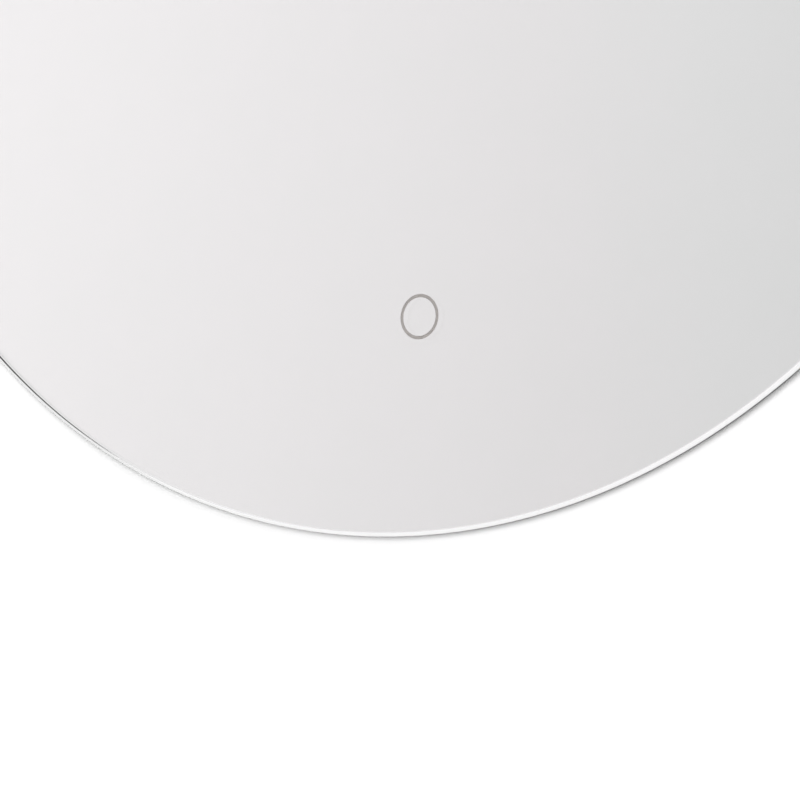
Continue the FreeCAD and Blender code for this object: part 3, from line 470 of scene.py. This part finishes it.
def transformer(name):
    """Dark ferrite core, and a winding under yellow tape in the middle of its length."""
    m = Shader(name)
    low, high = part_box("driver_transformer")
    taped_half = 0.62 * (high.z - low.z) / 2
    off = m.math("ABSOLUTE", m.math("SUBTRACT", m.split()[2], (low.z + high.z) / 2))
    taped = m.math("LESS_THAN", off, taped_half)
    grain = m.noise(1800, 3)
    core = m.mix(grain, rgb(0.020), rgb(0.040))
    tape = m.mix(grain, rgb(0.72, 0.50, 0.05), rgb(0.80, 0.58, 0.09))
    return m.surface(base_color=m.mix(taped, core, tape), roughness=m.grade(taped, 0.0, 1.0, 0.62, 0.35),
                     normal=m.bump(grain, 0.02 * MM))


def earth_insulation(name):
    """Green insulation with a yellow stripe along it."""
    m = Shader(name)
    low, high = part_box("earth_lead")
    x = m.math("ADD", m.split()[0], m.wander(m.noise(60, 1), 0.4 * MM))
    side = m.math("GREATER_THAN", x, (low.x + high.x) / 2)
    colour = m.mix(side, rgb(0.62, 0.56, 0.03), rgb(0.03, 0.24, 0.06))
    return m.surface(base_color=colour, roughness=0.38, normal=m.bump(m.noise(2400, 2), 0.01 * MM, 0.5))


def strip(name):
    """White flexible board with the copper pads where it may be cut."""
    m = Shader(name)
    around, _ = polar(m)
    cuts = 48
    pad_half = 2.4 * MM
    pitch = 2 * math.pi * glass_r / cuts
    beat = m.math("PINGPONG", m.split(around)[0], pitch / 2)
    pad = m.math("LESS_THAN", beat, pad_half)
    colour = m.mix(pad, rgb(0.86, 0.86, 0.84), rgb(0.70, 0.42, 0.22))
    return m.surface(base_color=colour, roughness=m.spread(m.noise(1500, 2), 0.26, 0.36),
                     normal=m.bump(pad, 0.03 * MM))


def build_materials():
    """Every slot of the record with its material."""
    made = {"clear_glass": clear_glass(), "silver": silver()}
    for name, build in (
            ("foam_tape", foam), ("frame_aluminium", anodised), ("plate_paint", powder_coat),
            ("rail_steel", galvanised), ("opal_diffuser", opal), ("circuit_board", board),
            ("ferrite", transformer), ("earth_lead", earth_insulation), ("strip_white", strip)):
        made[name] = build(name)
    for name, low, high, thread_pitch in (
            ("opal_film", rgb(0.690, 0.630, 0.600), rgb(0.720, 0.660, 0.630), None),
            ("safety_film", rgb(0.70, 0.715, 0.73), rgb(0.76, 0.775, 0.79), 3.2 * MM)):
        made[name] = film(name, low, high, thread_pitch)
    for name, low, high, rough_low, rough_high in (
            ("screw_steel", rgb(0.66, 0.67, 0.69), rgb(0.78, 0.78, 0.79), 0.20, 0.34),
            ("rivet_aluminium", rgb(0.76, 0.76, 0.77), rgb(0.84, 0.84, 0.85), 0.26, 0.40),
            ("terminal_brass", rgb(0.72, 0.52, 0.22), rgb(0.82, 0.63, 0.30), 0.22, 0.34)):
        made[name] = metal(name, low, high, rough_low, rough_high)
    for name, low, high, rough, grain_scale, grain_depth in (
            ("capacitor_can", rgb(0.020, 0.026, 0.045), rgb(0.030, 0.038, 0.060), 0.32, 2200, 0.02 * MM),
            ("black_rubber", rgb(0.018), rgb(0.030), 0.62, 1500, 0.04 * MM),
            ("conductive_foam", rgb(0.05), rgb(0.08), 0.80, 1700, 0.10 * MM),
            ("connector_white", rgb(0.84, 0.83, 0.79), rgb(0.87, 0.86, 0.82), 0.28, 2200, 0.02 * MM),
            ("led_yellow", rgb(0.80, 0.58, 0.10), rgb(0.86, 0.66, 0.16), 0.30, 2200, 0.02 * MM),
            ("indicator_white", rgb(0.84), rgb(0.88), 0.22, 2200, 0.02 * MM),
            ("white_lead", rgb(0.80, 0.80, 0.78), rgb(0.84, 0.84, 0.82), 0.36, 1200, 0.02 * MM)):
        made[name] = plastic(name, low, high, rough, grain_scale, grain_depth)
    made["white_plastic"] = plastic(
        "white_plastic", rgb(0.80, 0.80, 0.785), rgb(0.84, 0.84, 0.825), 0.40, 1900, 0.03 * MM,
        subsurface_weight=0.08, subsurface_radius=MILKY, subsurface_scale=2 * MM)
    return made


def dress(materials):
    """Gives each node of the frame the material of its slot."""
    for part in frame["record"]["subparts"]:
        node = frame["nodes"][part["node"]]
        node.data.materials.clear()
        node.data.materials.append(materials[part["material_slot"]])


# ==== stage, light and camera ==================================================================
def stage_paint(m, front, plain, diffuse, glow):
    """Finishes a shader as pale paint, which is clear where front is 0 and plain white where plain is 1."""
    lit = m.add("BsdfDiffuse", {"Color": rgb(diffuse)})[0]
    shine = m.add("Emission", {"Color": rgb(1.0), "Strength": glow})[0]
    painted = m.add("AddShader", {0: lit, 1: shine})[0]
    white = m.add("Emission", {"Color": rgb(1.0), "Strength": 1.0})[0]
    both = m.add("MixShader", {0: plain, 1: painted, 2: white})[0]
    clear = m.add("BsdfTransparent")[0]
    return m.finished(m.add("MixShader", {0: front, 1: clear, 2: both})[0])


def distance(m, centre):
    """How far the place lies from a centre."""
    return m.add("VectorMath", {0: m.here, 1: centre}, operation="DISTANCE")["Value"]


def wall_paint():
    """Shows to the camera, and as plain white through glass; other rays pass it, so that it shades nothing.

    Its glow grows outwards, some way from the glass's rim: painted light that pales the lamps' shadow there.
    """
    m = Shader("wall_paint")
    path = m.add("LightPath")
    through = path["Is Transmission Ray"]
    front = m.math("MULTIPLY", m.facing(), m.math("MAXIMUM", path["Is Camera Ray"], through))
    off = distance(m, (axis_x, WALL_Y, axis_z))
    plain = m.math("MAXIMUM", m.grade(off, WALL_NEAR, WALL_FAR, soft=True), through)
    # painted light: the glow rises from the shadow's level behind the glass to a paler level outside the rim
    glow = m.grade(off, glass_r + SHADE_INNER, glass_r + SHADE_OUTER, WALL_PAINTED_LIGHT, RIM_PAINTED_LIGHT)
    return stage_paint(m, front, plain, WALL_TONE, glow)


def floor_paint():
    """Pale near the mirror and plain white far off."""
    m = Shader("floor_paint")
    off = distance(m, (axis_x, 0.0, FLOOR_Z))
    plain = m.grade(off, FLOOR_NEAR, FLOOR_FAR, soft=True)
    return stage_paint(m, m.facing(), plain, FLOOR_TONE, FLOOR_GLOW)


def sheet(name, corners, paint):
    """A flat rectangle of the stage, facing the side that its corners run round anticlockwise."""
    mesh = bpy.data.meshes.new(name)
    mesh.from_pydata(corners, [], [(0, 1, 2, 3)])
    mesh.materials.append(paint)
    thing = new_object(name, mesh)
    return thing


def build_stage():
    """A pale floor well below the mirror and a pale wall behind it, which is given back."""
    top = FLOOR_Z + 2 * WALL_HALF
    sheet("floor", [(-FLOOR_HALF, -FLOOR_HALF, FLOOR_Z), (FLOOR_HALF, -FLOOR_HALF, FLOOR_Z),
                    (FLOOR_HALF, FLOOR_HALF, FLOOR_Z), (-FLOOR_HALF, FLOOR_HALF, FLOOR_Z)], floor_paint())
    return sheet("wall", [(-WALL_HALF, WALL_Y, FLOOR_Z), (WALL_HALF, WALL_Y, FLOOR_Z),
                          (WALL_HALF, WALL_Y, top), (-WALL_HALF, WALL_Y, top)], wall_paint())


def build_world():
    """Soft studio surroundings: white to the camera, and a quiet gradient to the mirror and the metals."""
    world = bpy.data.worlds.new("studio")
    bpy.context.scene.world = world
    world.use_nodes = True
    world.node_tree.nodes.clear()
    m = Nodes(world.node_tree)
    x, y, z = m.add("SeparateXYZ", {0: m.add("TexCoord")["Generated"]})
    sides = m.math("ADD", m.grade(x, *ROOM_LEFT, soft=True), m.grade(x, *ROOM_RIGHT, soft=True))
    heights = m.math("ADD", m.grade(z, *ROOM_LOW, soft=True), m.grade(z, *ROOM_HIGH))
    front = m.math("ADD", sides, heights)
    rear = m.grade(z, *ROOM_REAR, soft=True)
    level = m.add("Mix", {0: m.grade(y, *ROOM_TURN, soft=True), 2: front, 3: rear}, data_type="FLOAT")[0]
    hue = m.mix(m.grade(x, *ROOM_WARMTH, soft=True), rgb(1.0), rgb(*ROOM_TINT))
    tinted = m.add("VectorMath", {0: hue, 3: level}, operation="SCALE")[0]
    colour = m.mix(m.add("LightPath")["Is Camera Ray"], tinted, rgb(1.0))
    shader = m.add("Background", {"Color": colour, "Strength": 1.0})[0]
    m.add("OutputWorld", {"Surface": shader})


def area_light(name, at, size, power):
    """A soft round lamp that points at the mirror's middle and shows in no mirror."""
    data = bpy.data.lights.new(name, "AREA")
    data.shape = "DISK"
    data.size = size
    data.energy = power
    lamp = new_object(name, data)
    lamp.location = at
    lamp.rotation_mode = "QUATERNION"
    lamp.rotation_quaternion = (middle - Vector(at)).to_track_quat("-Z", "Y")
    lamp.visible_camera = False
    lamp.visible_glossy = False
    lamp.visible_transmission = False
    return lamp


def wall_light(name, at, size, level, wall):
    """A lamp of even strength over distance that falls on the wall alone, and gives it that level."""
    reach = (middle - at).length
    lamp = area_light(name, at, size, level / WALL_TONE * (math.pi * reach) ** 2)
    lamp.data.use_nodes = True
    m = Nodes(lamp.data.node_tree)
    even = m.add("LightFalloff", {"Strength": 1.0 / reach ** 2})["Constant"]
    shine = next(node for node in m.tree.nodes if node.type == "EMISSION")
    m.tree.links.new(even, shine.inputs["Strength"])
    only = bpy.data.collections.new(name + "_receivers")
    only.objects.link(wall)
    lamp.light_linking.receiver_collection = only


def build_lights(wall):
    """A key for the front, one for the rear, and two lamps beside the camera for the wall alone."""
    area_light("key", KEY_AT, KEY_SIZE, KEY_POWER)
    area_light("rear_key", REAR_AT, REAR_SIZE, REAR_POWER)
    right, up, _ = camera_axes()
    beside = CAMERA_AT - right * WASH_LEFT + up * WASH_UP
    wall_light("wall_wash", beside, WASH_SIZE, WASH_LEVEL, wall)
    wall_light("wall_haze", beside, HAZE_SIZE, HAZE_LEVEL, wall)


def camera_axes():
    """The camera's right, up and back directions."""
    turn, rise, roll = (math.radians(angle) for angle in (CAMERA_TURN, CAMERA_RISE, CAMERA_ROLL))
    back = Vector((math.sin(turn) * math.cos(rise), -math.cos(turn) * math.cos(rise), math.sin(rise)))
    level = Vector((math.cos(turn), math.sin(turn), 0.0))
    lift = back.cross(level)
    right = level * math.cos(roll) + lift * math.sin(roll)
    up = lift * math.cos(roll) - level * math.sin(roll)
    return right, up, back


def build_camera():
    data = bpy.data.cameras.new("camera")
    data.sensor_fit = "HORIZONTAL"
    data.sensor_width = 36.0
    data.lens = CAMERA_LENS
    data.clip_start = 0.05
    data.clip_end = 60.0
    camera = new_object("camera", data)
    turned = Matrix(camera_axes()).transposed().to_4x4()
    camera.matrix_world = Matrix.Translation(CAMERA_AT) @ turned
    bpy.context.scene.camera = camera


# ==== the scene ================================================================================
materials = build_materials()
dress(materials)

pane = glass_pane()
pane.data.materials.append(materials["clear_glass"])
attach(pane, "mirror")
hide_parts("mirror_glass")

layer = silver_layer()
layer.data.materials.append(materials["silver"])
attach(layer, "mirror")
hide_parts("mirror_silvering")

build_world()
build_camera()
build_lights(build_stage())
bpy.context.scene.view_settings.view_transform = "Standard"
